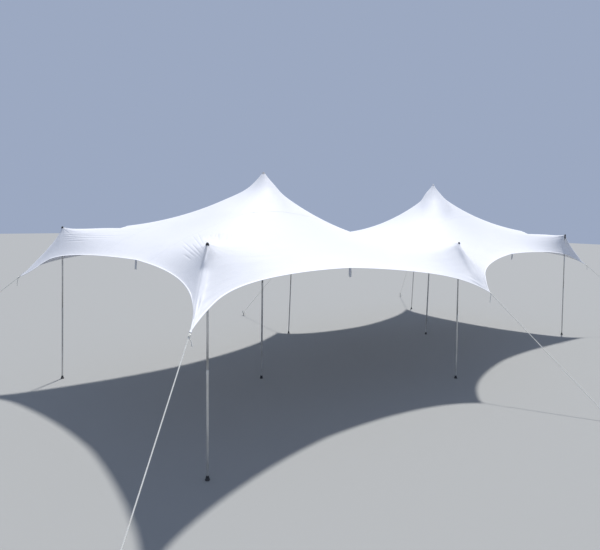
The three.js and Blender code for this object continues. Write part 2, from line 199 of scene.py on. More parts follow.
def mix_colour(tree, factor, a, b):
    made = node(tree, "Mix", data_type="RGBA")
    for key, value in (("Factor", factor), ("A", a), ("B", b)):
        socket = next(s for s in made.inputs if s.name == key and s.enabled)
        feed(tree, socket, (*value, 1) if isinstance(value, tuple) else value)
    return next(s for s in made.outputs if s.enabled)


def math_node(tree, operation, a, b=0.0):
    return node(tree, "Math", {0: a, 1: b}, operation=operation).outputs[0]


def plus(tree, a, b):
    return math_node(tree, "ADD", a, b)


def times(tree, a, b):
    return math_node(tree, "MULTIPLY", a, b)


def vector_node(tree, operation, a, *others, output=0):
    inputs = dict(enumerate((a, *others)))
    return node(tree, "VectorMath", inputs, operation=operation).outputs[output]


def bump(tree, height, strength, distance, **below):
    inputs = {"Height": height, "Strength": strength, "Distance": distance, **below}
    return node(tree, "Bump", inputs).outputs[0]


def place(tree, kind="Object"):
    return node(tree, "TexCoord").outputs[kind]


def scaled(tree, vector, scale):
    return node(tree, "Mapping", {"Vector": vector, "Scale": scale}).outputs[0]


def dress(tree, shader, colour, rough, normal, sheen=0.0):
    for key, source in (("Base Color", colour), ("Roughness", rough), ("Normal", normal)):
        tree.links.new(source, shader.inputs[key])
    shader.inputs["Sheen Weight"].default_value = sheen


def let_light_through(tree, shader, out, share, **inputs):
    through = node(tree, "BsdfTranslucent", inputs)
    mixed = node(tree, "MixShader", {0: share, 1: shader.outputs[0], 2: through.outputs[0]})
    tree.links.new(mixed.outputs[0], out.inputs[0])


# Mesh helpers

def add_mesh(name, points, faces, material, uv, slot, replaces=()):
    mesh = bpy.data.meshes.new(name)
    mesh.from_pydata(np.asarray(points, float).tolist(), [], [list(map(int, f)) for f in faces])
    layer = mesh.uv_layers.new(name="UVMap")
    index = np.empty(len(mesh.loops), int)
    mesh.loops.foreach_get("vertex_index", index)
    layer.data.foreach_set("uv", np.asarray(uv, np.float32)[index].ravel())
    mesh.polygons.foreach_set("use_smooth", [True] * len(mesh.polygons))
    mesh.materials.append(material)
    mesh.update()
    obj = add_object(name, mesh)
    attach(obj, "root")
    if replaces:
        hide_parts(*replaces)
    return obj


def unit(v):
    v = np.asarray(v, float)
    return v / np.maximum(np.linalg.norm(v, axis=-1, keepdims=True), 1e-12)


class Shape:
    """Collects closed bodies into one mesh."""

    def __init__(self):
        self.points, self.faces, self.uv, self.count = [], [], [], 0

    def add(self, points, faces, uv):
        self.faces += [[k + self.count for k in f] for f in faces]
        self.points.append(points)
        self.uv.append(uv)
        self.count += len(points)
        return self

    def make(self, name, material, **more):
        return add_mesh(name, np.concatenate(self.points), self.faces, material,
                        np.concatenate(self.uv), **more)


def beside(v):
    """A direction at right angles to another."""
    return unit(np.cross(v, (0, 0, 1) if abs(v[2]) < 0.9 else (1, 0, 0)))


def run_along(path):
    """How far along a path each of its points is."""
    return np.concatenate([[0], np.cumsum(np.linalg.norm(np.diff(path, axis=0), axis=1))])


def frames(path):
    """Two cross directions along a path that turn as little as possible."""
    ahead = unit(np.gradient(path, axis=0))
    side = np.zeros_like(path)
    side[0] = beside(ahead[0])
    for k in range(1, len(path)):
        side[k] = unit(side[k - 1] - ahead[k] * np.dot(side[k - 1], ahead[k]))
    return side, np.cross(ahead, side)


def ring_faces(count, sides, turned=False, closed=False):
    """Faces between rings of points and over both ends, or none there if the last ring joins the first."""
    quads = []
    for k in range(count if closed else count - 1):
        after = (k + 1) % count
        for s in range(sides):
            s2 = (s + 1) % sides
            quads.append([k * sides + s, k * sides + s2, after * sides + s2, after * sides + s])
    ends = [] if closed else [list(range(sides))[::-1], list(range((count - 1) * sides, count * sides))]
    if turned:
        return [[a, d, c, b] for a, b, c, d in quads] + [face[::-1] for face in ends]
    return quads + ends


def round_uv(run, turn):
    return np.stack([np.repeat(run, len(turn)), np.tile(turn / (2 * np.pi), len(run))], 1)


def full_turn(sides):
    return np.linspace(0, 2 * np.pi, sides, endpoint=False)


def tube(path, radius, sides):
    """A closed round bar along a path; the radius may change along it."""
    a, b = frames(path)
    radius = np.broadcast_to(radius, len(path))
    turn = full_turn(sides)
    ring = np.cos(turn)[None, :, None] * a[:, None] + np.sin(turn)[None, :, None] * b[:, None]
    points = (path[:, None] + radius[:, None, None] * ring).reshape(-1, 3)
    return points, ring_faces(len(path), sides), round_uv(run_along(path), turn)


def lathe(origin, axis, profile, sides):
    """A turned body; the profile gives (distance along, radius) from one end to the other."""
    axis, profile = unit(axis), np.array(profile)
    side = beside(axis)
    turn = full_turn(sides)
    ring = np.cos(turn)[:, None] * side + np.sin(turn)[:, None] * np.cross(axis, side)
    points = origin + profile[:, :1, None] * axis + profile[:, 1:, None] * ring
    return points.reshape(-1, 3), ring_faces(len(profile), sides), round_uv(run_along(profile), turn)


def node_points(name):
    return np.array([v.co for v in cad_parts[name].data.vertices], float)


def axis_of(name):
    """The two ends of a turned CAD node's axis, lowest first."""
    co = np.unique(np.round(node_points(name), 6), axis=0)
    middle = co.mean(0)
    along = np.linalg.svd(co - middle, full_matrices=False)[2][0]
    if along[2] < 0:
        along = -along
    run = (co - middle) @ along
    return [co[np.abs(run - end) < 1e-4].mean(0) for end in (run.min(), run.max())]


# Materials

def fold_frame(lie, start, end, width, spread_right=1.0, power=2):
    """A fold's middle, and its directions over their reach, each with how much wider it is and a power."""
    start, end = (np.array([*p, 0.0][:3]) for p in (start, end))
    ahead = unit(end - start)
    across = unit(np.cross(ahead, lie))
    return (start + end) / 2, (
        (ahead / math.dist(start, end) * 2, 1.0, 4),
        (across / width, spread_right, power),
        (np.cross(ahead, across) / FOLD_DEPTH, 1.0, 4))


def fold(tree, here, lie, *line):
    """A soft ridge that follows the plane through a line and the lie, from 0 beside it to 1 on it."""
    middle, directions = fold_frame(lie, *line)
    spread = 0.0
    for axis, wider, power in directions:
        run = vector_node(tree, "DOT_PRODUCT", here, axis, output="Value")
        run = math_node(tree, "SUBTRACT", run, float(axis @ middle))
        run = math_node(tree, "MAXIMUM", times(tree, run, 1 / wider), times(tree, run, -1.0))
        spread = plus(tree, spread, math_node(tree, "POWER", run, power))
    return math_node(tree, "EXPONENT", times(tree, spread, -1.0))


def fan(tree, cloth, folded, centre, fine, near, far):
    """Fine wrinkles that fan out from a point of the cloth, repeated in each quarter with its own pattern."""
    away = vector_node(tree, "SUBTRACT", folded, (*centre, 0))
    reach = vector_node(tree, "LENGTH", away, output="Value")
    ray = vector_node(tree, "NORMALIZE", away)
    quarter = vector_node(tree, "SIGN", cloth)
    seed = vector_node(tree, "DOT_PRODUCT", quarter, (3.1, 7.3, 0), output="Value")
    drift = node(tree, "CombineXYZ", {2: plus(tree, seed, reach)}).outputs[0]
    spot = vector_node(tree, "MULTIPLY_ADD", ray, (fine, fine, 0), drift)
    wrinkles = noise(tree, spot, 1.0, 2.0, 0.5)
    rise, fall = (
        node(tree, "MapRange", {0: reach, 1: low, 2: high, 3: first, 4: 1.0 - first},
             interpolation_type="SMOOTHSTEP").outputs[0]
        for low, high, first in ((near * 0.3, near, 0.0), (near, far, 1.0)))
    return times(tree, wrinkles, times(tree, rise, fall))


def in_mesh(fold_line):
    """The share of a fold's height that the mesh itself carries; the material adds the rest."""
    _, start, _, width, *_ = fold_line
    on_tent = len(start) == 3
    return MESH_SHARE if on_tent and width >= FINE_FOLD else 0.0


def fabric_relief(tree, cloth, here):
    """Heights of the folds and wrinkles, from the place on the flat cloth and that on the tent."""
    folded = vector_node(tree, "ABSOLUTE", cloth)
    quarter = vector_node(tree, "ABSOLUTE", here)
    east = node(tree, "SeparateXYZ", {0: here}).outputs[0]
    apart = node(tree, "SeparateXYZ", {0: quarter}).outputs
    side = node(tree, "CombineXYZ", {0: east, 1: apart[1], 2: apart[2]}).outputs[0]
    relief = 0.0
    for space, (lie, folds) in zip((folded, quarter, side, here), ((CLOTH_LIE, CLOTH_FOLDS), *FOLDS_ON_TENT)):
        for fold_line in folds:
            height, *line = fold_line
            left = height * (1 - in_mesh(fold_line))
            relief = plus(tree, relief, times(tree, fold(tree, space, lie, *line), left))
    for *spot, height in FANS:
        relief = plus(tree, relief, times(tree, fan(tree, cloth, folded, *spot), height))
    return relief


def fabric_material():
    """White stretch fabric: clouded, dusty, speckled, soiled near its edges, with painted shade on its centre
    peaks.
    """
    mat, tree, shader, out = new_material("stretch_fabric")
    here = place(tree)
    cloth = place(tree, "UV")
    cloudy = noise(tree, here, 0.55, 4.0, 0.55)
    blotch = noise(tree, here, 3.2, 5.0, 0.6)
    base = ramp(tree, cloudy, [(0.3, (0.85, 0.865, 0.91)), (0.7, (0.885, 0.895, 0.93))])
    dusty = greys(tree, blotch, (0.52, 0), (0.78, 0.5))
    base = mix_colour(tree, times(tree, dusty, 0.14), base, (0.74, 0.73, 0.70))
    specks = node(tree, "TexVoronoi", {"Vector": here, "Scale": 1.7}, feature="F1").outputs["Distance"]
    speck = greys(tree, specks, (0.0, 1), (0.010, 0.8), (0.018, 0))
    base = mix_colour(tree, times(tree, speck, 0.4), base, (0.42, 0.42, 0.44))
    grime = node(tree, "Attribute", attribute_name="grime").outputs["Fac"]
    patchy = times(tree, grime, greys(tree, blotch, (0.3, 0.35), (0.7, 1)))
    base = mix_colour(tree, times(tree, patchy, 0.35), base, (0.62, 0.61, 0.57))
    # Painted shade: a dark grey spot on each centre peak, standing in for the pole head's shadow seen through
    # the cloth
    for name, amount in (("centre_left", 0.7), ("centre_right", 0.2)):
        apart = vector_node(tree, "DISTANCE", here, PEAKS[name], output="Value")
        wear_and_painted_shade = node(tree, "MapRange", {0: apart, 1: 0.030, 2: 0.060, 3: amount, 4: 0.0}).outputs[0]
        base = mix_colour(tree, wear_and_painted_shade, base, (0.24, 0.24, 0.26))
    knit = [node(tree, "TexWave", {"Vector": cloth, "Scale": 62.0, "Distortion": 0.3},
                 bands_direction=way).outputs[1] for way in "XY"]
    creases = noise(tree, scaled(tree, cloth, (1.0, 2.6, 1.0)), 2.4, 5.0, 0.5)
    folds = bump(tree, fabric_relief(tree, cloth, here), 1.0, 1.0)
    wavy = bump(tree, creases, 0.2, 0.02, Normal=folds)
    fine = bump(tree, times(tree, *knit), 0.25, 0.0006, Normal=wavy)
    rough = greys(tree, blotch, (0.3, 0.52), (0.75, 0.68))
    dress(tree, shader, base, rough, fine, sheen=0.1)
    shader.inputs["Sheen Roughness"].default_value = 0.45
    shader.inputs["Specular IOR Level"].default_value = 0.35
    let_light_through(tree, shader, out, 0.18, Color=base, Normal=folds)
    return mat


def webbing_material(name, light, dark, pitch=0.0022, glow=0.0):
    """Woven tape with diagonal ribs across it."""
    mat, tree, shader, out = new_material(name)
    uv = place(tree, "UV")
    # On the tape this noise is only random wear, with no shade in it
    wear_and_painted_shade = noise(tree, place(tree), 9.0, 5.0, 0.6)
    rib = node(tree, "TexWave", {"Vector": uv, "Scale": 1 / (pitch * 6.28), "Distortion": 0.5},
               bands_direction="DIAGONAL").outputs[1]
    colour = mix_colour(tree, wear_and_painted_shade, dark, light)
    colour = mix_colour(tree, times(tree, rib, 0.22), colour, dark)
    rough = greys(tree, wear_and_painted_shade, (0.3, 0.7), (0.8, 0.9))
    dress(tree, shader, colour, rough, bump(tree, rib, 0.6, 0.0005), sheen=0.2)
    let_light_through(tree, shader, out, glow, Color=colour)
    return mat


def rope_material():
    """Pale braided fibre, a little soiled."""
    mat, tree, shader, _ = new_material("guy_rope_fibre")
    here = place(tree)
    uv = place(tree, "UV")
    soft = noise(tree, here, 26.0, 5.0, 0.62)
    fibre = noise(tree, scaled(tree, uv, (90.0, 14.0, 1.0)), 1.0, 3.0, 0.6)
    tones = [(0.25, (0.82, 0.80, 0.72)), (0.5, (0.90, 0.89, 0.83)), (0.75, (0.95, 0.94, 0.90))]
    colour = ramp(tree, soft, tones)
    colour = mix_colour(tree, times(tree, fibre, 0.25), colour, (0.66, 0.63, 0.54))
    rough = greys(tree, fibre, (0.3, 0.72), (0.7, 0.92))
    dress(tree, shader, colour, rough, bump(tree, fibre, 0.7, 0.0008), sheen=0.25)
    return mat


def aluminium_material():
    """Satin tube with fine lines along it and scuffs."""
    mat, tree, shader, _ = new_material("pole_aluminium")
    here = place(tree)
    drawn = noise(tree, scaled(tree, here, (240.0, 240.0, 1.6)), 1.0, 4.0, 0.6)
    dull = noise(tree, here, 5.5, 6.0, 0.65)
    tones = [(0.3, (0.58, 0.58, 0.56)), (0.55, (0.68, 0.68, 0.66)), (0.8, (0.75, 0.75, 0.74))]
    colour = ramp(tree, dull, tones)
    scuffed = greys(tree, noise(tree, here, 38.0, 4.0, 0.7), (0.60, 0), (0.70, 1))
    colour = mix_colour(tree, times(tree, scuffed, 0.3), colour, (0.82, 0.82, 0.81))
    shader.inputs["Metallic"].default_value = 0.65
    rough = plus(tree, greys(tree, dull, (0.3, 0.34), (0.8, 0.5)), times(tree, drawn, 0.12))
    dress(tree, shader, colour, rough, bump(tree, drawn, 0.15, 0.0003))
    return mat


def rubber_material():
    """Black rubber with a fine grain and dust."""
    mat, tree, shader, _ = new_material("black_rubber")
    here = place(tree)
    grain = noise(tree, here, 420.0, 2.0, 0.5)
    dust = noise(tree, here, 21.0, 6.0, 0.65)
    tones = [(0.35, (0.022, 0.023, 0.026)), (0.6, (0.05, 0.05, 0.052)), (0.85, (0.15, 0.14, 0.125))]
    rough = greys(tree, dust, (0.35, 0.55), (0.8, 0.85))
    dress(tree, shader, ramp(tree, dust, tones), rough, bump(tree, grain, 0.35, 0.0004))
    return mat


def steel_material():
    """Worn galvanised steel with rust."""
    mat, tree, shader, _ = new_material("stake_steel")
    here = place(tree)
    spangle = node(tree, "TexVoronoi", {"Vector": here, "Scale": 120.0}, feature="F1").outputs["Color"]
    rust = noise(tree, here, 34.0, 6.0, 0.7)
    tone = node(tree, "RGBToBW", {0: spangle}).outputs[0]
    colour = ramp(tree, tone, [(0.2, (0.34, 0.35, 0.36)), (0.8, (0.47, 0.48, 0.49))])
    rusty = greys(tree, rust, (0.54, 0), (0.66, 1))
    colour = mix_colour(tree, times(tree, rusty, 0.75), colour, (0.23, 0.12, 0.07))
    metal = math_node(tree, "SUBTRACT", 0.9, times(tree, rusty, 0.75))
    tree.links.new(metal, shader.inputs["Metallic"])
    rough = greys(tree, rust, (0.4, 0.4), (0.7, 0.85))
    dress(tree, shader, colour, rough, bump(tree, rust, 0.4, 0.0006))
    return mat


# Folds, each with its height, start, end and width, then how many times wider it is on its right and, for a
# sharp one, a 1. The mesh carries a share of those on the tent that aren't narrow, the material does the rest
MESH_SHARE = 0.35
FINE_FOLD = 0.02
# How far a fold reaches the way that its sides face, and how far from the heads the mesh's share of it begins
FOLD_DEPTH = 0.4
HEAD_CLEAR, HEAD_FADE = 0.04, 0.12
# Those laid out on one quarter of the flat cloth and shared by all four
CLOTH_LIE = (0, 0, 1)
CLOTH_FOLDS = [
    (0.005, (5.45, 2.92), (4.96, 2.81), 0.07),
    (0.005, (5.46, 2.82), (5.02, 2.49), 0.07),
    (0.004, (0.03, 2.86), (0.30, 2.66), 0.05),
]
# Those beside each corner pole and down its point, on the tent as it stands, and the way their sides face
CORNER_LIE = (-0.535, -0.842, -0.067)
CORNER_FOLDS = [
    (-0.003, (4.343, 0.817, 2.417), (4.894, 1.876, 2.356), 0.009),
    (-0.0024, (4.253, 0.783, 2.449), (4.710, 1.605, 2.385), 0.009),
    (-0.0036, (4.605, 1.210, 2.358), (4.940, 1.901, 2.316), 0.009),
    (-0.003, (4.487, 0.828, 2.359), (4.966, 1.921, 2.290), 0.009),
    (-0.003, (4.628, 1.040, 2.320), (4.935, 1.788, 2.274), 0.009),
    (-0.0026, (4.833, 1.413, 2.261), (4.955, 1.756, 2.238), 0.009),
    (0.022, (4.930, 2.055, 2.410), (5.080, 2.157, 2.190), 0.016, 3.5),
    (-0.01, (5.000, 2.140, 2.290), (5.370, 2.560, 1.930), 0.026),
    (-0.005, (5.300, 2.470, 2.000), (5.480, 2.690, 1.810), 0.014),
]
# The flat front of the front left point, whose middle hardly stands out between its two edges
NOSE_LIE = (0.547, 0.835, -0.060)
NOSE_FOLDS = [
    (-0.028, (-5.075, -2.202, 2.33), (-5.508, -2.678, 1.846), 0.06, 1, 1),
]
# The crease under each middle pole head, down to its point
MIDDLE_LIE = (0.879, -0.473, -0.057)
MIDDLE_FOLDS = [
    (0.05, (-0.145, 2.532, 1.685), (0.015, 2.043, 2.309), 0.072, 4),
]
FOLDS_ON_TENT = ((CORNER_LIE, CORNER_FOLDS), (MIDDLE_LIE, MIDDLE_FOLDS), (NOSE_LIE, NOSE_FOLDS))
# Wrinkles that fan out from a point: centre, fineness, nearest, farthest and height
FANS = [
    ((4.26, 1.51), 3.6, 0.16, 0.75, 0.0080),
    ((0.0, 1.51), 3.2, 0.14, 0.60, 0.0060),
    ((2.5, 0.0), 3.0, 0.18, 0.70, 0.0050),
    ((5.61, 2.90), 3.4, 0.16, 0.80, 0.0110),
    ((0.0, 2.90), 3.2, 0.14, 0.60, 0.0090),
]

FABRIC = fabric_material()
HEM = webbing_material("hem_tape", (0.86, 0.87, 0.91), (0.80, 0.81, 0.85))
WEBBING = webbing_material("strap_webbing", (0.90, 0.91, 0.92), (0.80, 0.81, 0.83), pitch=0.003, glow=0.5)
ROPE = rope_material()
ALUMINIUM = aluminium_material()
RUBBER = rubber_material()
STEEL = steel_material()


# The canopy's surface

def lines(knots, cells):
    out = [knots[0]]
    for a, b, n in zip(knots, knots[1:], cells):
        out += [a + (b - a) * k / n for k in range(1, n + 1)]
    return np.array(out)


SIDE_X, SIDE_Y = HALF_X - INSET_X, HALF_Y - INSET_Y
U = lines([-HALF_X, -SIDE_X, -CENTRE_X, 0, CENTRE_X, SIDE_X, HALF_X], CELLS_X)
V = lines([-HALF_Y, -SIDE_Y, 0, SIDE_Y, HALF_Y], CELLS_Y)
CU = np.cumsum((0,) + CELLS_X)
CV = np.cumsum((0,) + CELLS_Y)
HEAD_AT = {name: (CU[a], CV[b]) for name, (_, a, b, _) in HEADS.items()}
TIP_AT = {name: (CU[a], CV[b]) for name, (a, b, _) in TIPS.items()}


def stiffness(x, y):
    s = np.ones(np.broadcast(x, y).shape)
    spots = [(HEADS[n][0], *HEAD_AT[n]) for n in HEADS] + [("tip", *TIP_AT[n]) for n in TIPS]
    for kind, i, j in spots:
        gain, radius = PATCHES[kind]
        s = s + gain * np.exp(-((x - U[i]) ** 2 + (y - V[j]) ** 2) / radius ** 2)
    return s


def settle_net():
    """The shape at rest of a net with these pulls, held at the heads and tips."""
    nu, nv = len(U), len(V)
    du, dv = np.diff(U), np.diff(V)
    hu, hv = (np.convolve(d, (0.5, 0.5)) for d in (du, dv))
    balance = np.zeros((nu * nv, nu * nv))

    def link(a, b, q):
        np.add.at(balance, (a, a), q)
        np.add.at(balance, (b, b), q)
        np.add.at(balance, (a, b), -q)
        np.add.at(balance, (b, a), -q)

    i, j = (k.ravel() for k in np.meshgrid(np.arange(nu - 1), np.arange(nv), indexing="ij"))
    q = PULL_LENGTHWISE * hv[j] / du[i] * stiffness((U[i] + U[i + 1]) / 2, V[j])
    q += np.where((j == 0) | (j == nv - 1), HEM_PULL["long"] / du[i], 0)
    q += np.where((j == STRAP_ROW) & ((i < CU[1]) | (i >= CU[5])), STRAP_PULL / du[i], 0)
    link(i * nv + j, (i + 1) * nv + j, q)
    i, j = (k.ravel() for k in np.meshgrid(np.arange(nu), np.arange(nv - 1), indexing="ij"))
    q = hu[i] / dv[j] * stiffness(U[i], (V[j] + V[j + 1]) / 2)
    q += np.where(i == 0, HEM_PULL["left"] / dv[j], 0)
    q += np.where(i == nu - 1, HEM_PULL["right"] / dv[j], 0)
    outside = (j < CV[1]) | (j >= CV[3])
    q += np.where((i == CU[3]) & outside, RIDGE_PULL["middle"] / dv[j], 0)
    strap = (i == STRAP_COLUMN) | (i == nu - 1 - STRAP_COLUMN)
    q += np.where(strap & outside, STRAP_PULL / dv[j], 0)
    link(i * nv + j, i * nv + j + 1, q)
    k = np.arange(CELLS_X[0])
    for i0, j0, si, sj in ((0, 0, 1, 1), (0, nv - 1, 1, -1), (nu - 1, 0, -1, 1), (nu - 1, nv - 1, -1, -1)):
        a = (i0 + si * k) * nv + j0 + sj * k
        b = (i0 + si * (k + 1)) * nv + j0 + sj * (k + 1)
        link(a, b, np.full(len(k), RIDGE_PULL["corner"] / math.hypot(du[0], dv[0])))

    held = {HEAD_AT[n][0] * nv + HEAD_AT[n][1]: HEADS[n][3] for n in HEADS}
    held.update({TIP_AT[n][0] * nv + TIP_AT[n][1]: TIPS[n][2] for n in TIPS})
    fixed = np.array(sorted(held))
    free = np.setdiff1d(np.arange(nu * nv), fixed)
    x = np.zeros((nu * nv, 3))
    x[fixed] = [held[n] for n in fixed]
    rhs = -balance[np.ix_(free, fixed)] @ x[fixed]
    rhs[:, 2] -= LOAD * np.outer(hu, hv).ravel()[free]
    x[free] = np.linalg.solve(balance[np.ix_(free, free)], rhs)
    return x.reshape(nu, nv, 3)


def bow_hems(net):
    """Doubled fabric holds the hem out beside the tips."""
    bowed = net.copy()

    def share(d):
        t = np.maximum(d, 0) / BOW_AT
        return (t * np.exp((1 - t * t) / 2))[:, None]

    for name, (left, right, end) in BOWS.items():
        ti, tj = TIP_AT[name]
        inner = 1 if tj == 0 else len(V) - 2
        amount = left * share(U[ti] - U) + right * share(U - U[ti])
        bowed[:, tj] += amount * unit(net[:, tj] - net[:, inner])
        if end:
            inner = 1 if ti == 0 else len(U) - 2
            bowed[ti] += end * share(np.abs(V - V[tj])) * unit(net[ti] - net[inner])
    return bowed


NET = bow_hems(settle_net())


def fine_lines(grid, special):
    """Where the fine grid's lines run: (cell, share of the cell), closest round the special lines."""
    cells, shares = [], []
    steps = np.cumsum(np.linspace(0.35, 1.65, 10))
    steps = np.concatenate([[0], steps / steps[-1]])
    last = len(grid) - 2
    for c in range(last + 1):
        if c in special:
            t = steps[:-1]
        elif c + 1 in special:
            t = 1 - steps[:0:-1]
        else:
            near = c - 1 in special or c + 2 in special
            t = np.linspace(0, 1, 6 if near else 4, endpoint=False)
        cells += [c] * len(t)
        shares += list(t)
    cells.append(last)
    shares.append(1.0)
    return np.array(cells), np.array(shares)


CELL_U, SHARE_U = fine_lines(U, set(CU))
CELL_V, SHARE_V = fine_lines(V, set(CV))
FINE_U = U[CELL_U] + SHARE_U * np.diff(U)[CELL_U]
FINE_V = V[CELL_V] + SHARE_V * np.diff(V)[CELL_V]
GRID_X, GRID_Y = np.meshgrid(FINE_U, FINE_V, indexing="ij")


def from_spot(i, j):
    """Distance and bearing of the fine grid's places from one of the net's points."""
    dx, dy = GRID_X - U[i], GRID_Y - V[j]
    return np.hypot(dx, dy), np.arctan2(dy, dx)


def slopes(p, grid):
    """Slopes at the grid's lines along axis 0: central, from the left only, from the right only."""
    h = np.diff(grid).reshape(-1, *[1] * (p.ndim - 1))
    d = np.diff(p, axis=0) / h
    central = np.empty_like(p)
    central[1:-1] = (d[:-1] * h[1:] + d[1:] * h[:-1]) / (h[:-1] + h[1:])
    central[0] = d[0] + (d[0] - d[1]) * h[0] / (h[0] + h[1])
    central[-1] = d[-1] + (d[-1] - d[-2]) * h[-1] / (h[-1] + h[-2])
    left, right = central.copy(), central.copy()
    left[2:] = d[1:] + (d[1:] - d[:-1]) * h[1:] / (h[1:] + h[:-1])
    right[:-2] = d[:-1] + (d[:-1] - d[1:]) * h[:-1] / (h[:-1] + h[1:])
    return central, left, right


def hermite(p, grid, before, after, cell, share):
    """A curve through p; before and after are its slopes on either side of each line."""
    t = share.reshape(-1, *[1] * (p.ndim - 1))
    h = np.diff(grid)[cell].reshape(-1, *[1] * (p.ndim - 1))
    t2, t3 = t * t, t * t * t
    return ((2 * t3 - 3 * t2 + 1) * p[cell] + (t3 - 2 * t2 + t) * h * after[cell]
            + (3 * t2 - 2 * t3) * p[cell + 1] + (t3 - t2) * h * before[cell + 1])


SHARP_REACH = 0.07


def smooth_surface():
    """The net as one smooth sheet that stays pointed at its heads and tips."""
    central, left, right = slopes(NET, U)
    before, after = central.copy(), central.copy()
    for i, j in (*HEAD_AT.values(), *TIP_AT.values()):
        before[i, j], after[i, j] = left[i, j], right[i, j]
    columns = hermite(NET, U, before, after, CELL_U, SHARE_U).transpose(1, 0, 2)
    central, left, right = slopes(columns, V)
    before, after = central.copy(), central.copy()
    for i, j in HEAD_AT.values():
        w = np.exp(-np.abs(FINE_U - U[i]) / SHARP_REACH)[:, None]
        before[j] += w * (left[j] - central[j])
        after[j] += w * (right[j] - central[j])
    return hermite(columns, V, before, after, CELL_V, SHARE_V).transpose(1, 0, 2)


def normals_of(p):
    return unit(np.cross(np.gradient(p, FINE_U, axis=0), np.gradient(p, FINE_V, axis=1)))


def standing(name):
    """Foot end of a pole and the middle of its round head, just under the cloth."""
    kind, _, _, top = HEADS[name]
    under = SINK.get(name, 0) + CLOTH / 2 + BALL[kind] + OVER_BALL + math.log(2) * CLOTH_EASE
    return axis_of(name + "_pole")[0], np.array(top) - (0, 0, under)


POLES = {name: standing(name) for name in HEADS}


def average(grid, reach):
    """Weights that blur along a grid; past its ends the cloth is thought to run straight on."""
    share = np.gradient(grid)
    weights = np.exp(-((grid[:, None] - grid) / reach) ** 2 / 2) * share
    for end in (0, -1):
        beyond = np.exp(-((grid[:, None] - 2 * grid[end] + grid) / reach) ** 2 / 2) * share
        beyond[:, end] = 0
        weights -= beyond
        weights[:, end] += 2 * beyond.sum(1)
    return weights / weights.sum(1, keepdims=True)


def ease(t):
    t = np.clip(t, 0, 1)
    return t * t * (3 - 2 * t)


def soft_over(value, limit):
    """The value, kept from falling below the limit."""
    return limit + CLOTH_EASE * np.logaddexp(0, (value - limit) / CLOTH_EASE)


RIDGE_BLUR = 0.13
RIDGE_KEPT = {"front_left": 0.9, "front_right": 0.0, "back_left": 0.4, "back_right": 0.3}


def draw_ridges(p):
    """Pulls the cloth smooth and nearly straight between each corner head and its tip."""
    wide_x, wide_y = average(FINE_U, RIDGE_BLUR), average(FINE_V, RIDGE_BLUR)
    line = np.linspace(0, 1, 81)
    for name, kept in RIDGE_KEPT.items():
        (hi, hj), (ti, tj) = HEAD_AT[name], TIP_AT[name]
        head = np.array([U[hi], V[hj]])
        way = np.array([U[ti], V[tj]]) - head
        length = np.linalg.norm(way)
        dx, dy = GRID_X - head[0], GRID_Y - head[1]
        t = (dx * way[0] + dy * way[1]) / length ** 2
        off = np.abs(dx * way[1] - dy * way[0]) / length
        ridge, _ = sample(p, *(head[k] + way[k] * line for k in (0, 1)))
        start, end = ridge[0], ridge[-1]
        along = unit(end - start)
        pull = (start + ((ridge - start) @ along)[:, None] * along - ridge) * (1 - kept)
        spread = 0.06 + 0.40 * np.clip(t * (1 - t), 0, 1)
        share = np.exp(-(off / spread) ** 2) * (t > 0) * (t < 1)
        pulled = p + share[..., None] * np.stack([np.interp(t, line, pull[:, k]) for k in range(3)], -1)
        blurred = np.einsum("jb,ibk->ijk", wide_y, np.tensordot(wide_x, pulled, 1))
        w = ease(t / 0.2) * ease((1 - t) / 0.12) * (1 - ease((off - 0.3) / 0.25))
        p = pulled + w[..., None] * (blurred - pulled)
    return p


def sample(p, x, y, normal=None):
    """The surface p, and a normal field, at flat cloth coordinates."""
    i = np.clip(np.searchsorted(FINE_U, x) - 1, 0, len(FINE_U) - 2)
    j = np.clip(np.searchsorted(FINE_V, y) - 1, 0, len(FINE_V) - 2)
    s = ((x - FINE_U[i]) / (FINE_U[i + 1] - FINE_U[i]))[..., None]
    t = ((y - FINE_V[j]) / (FINE_V[j + 1] - FINE_V[j]))[..., None]

    def blend(g):
        return (g[i, j] * (1 - s) * (1 - t) + g[i + 1, j] * s * (1 - t)
                + g[i + 1, j + 1] * s * t + g[i, j + 1] * (1 - s) * t)

    return blend(p), None if normal is None else unit(blend(normal))


def seat_on_pole(p, name):
    """Rounds a peak over its pole's head and keeps the cloth clear of the tube below it."""
    kind, _, _, top = HEADS[name]
    low, ball = POLES[name]
    peak = top[2] - SINK.get(name, 0) - CLOTH / 2
    out = p[..., :2] - np.array(top[:2])
    r = np.linalg.norm(out, axis=-1)
    rounded = p.copy()
    rounded[..., 2] = -soft_over(-p[..., 2], -peak)
    if name in CONES:
        start, slope, flare = CONES[name]
        depth = top[2] - p[..., 2] - SINK[name]
        d = np.maximum(depth, 0)
        wide = start + slope * d + flare * d * d
        faces_front = np.maximum(unit(out) @ FRONT_LEFT, 0) ** 2
        share = 1 - ease((d - CONE_FULL) / (CONE_GONE + CONE_DEEPER * faces_front - CONE_FULL))
        wide = np.where(depth > 0, wide, start * np.minimum(r / CONE_TIP, 1))
        rounded[..., :2] += unit(out) * (share * (wide - r))[..., None]
    p = np.where((r < CONE_REACH)[..., None], rounded, p)
    axis = unit(ball - low)
    run = np.clip((p - low) @ axis, 0, np.linalg.norm(ball - low))
    nearest = low + run[..., None] * axis
    away = p - nearest
    far = np.linalg.norm(away, axis=-1)
    pushed = nearest + unit(away) * soft_over(far, BALL[kind] + OVER_BALL)[..., None]
    return np.where((far < TUBE_REACH)[..., None], pushed, p)


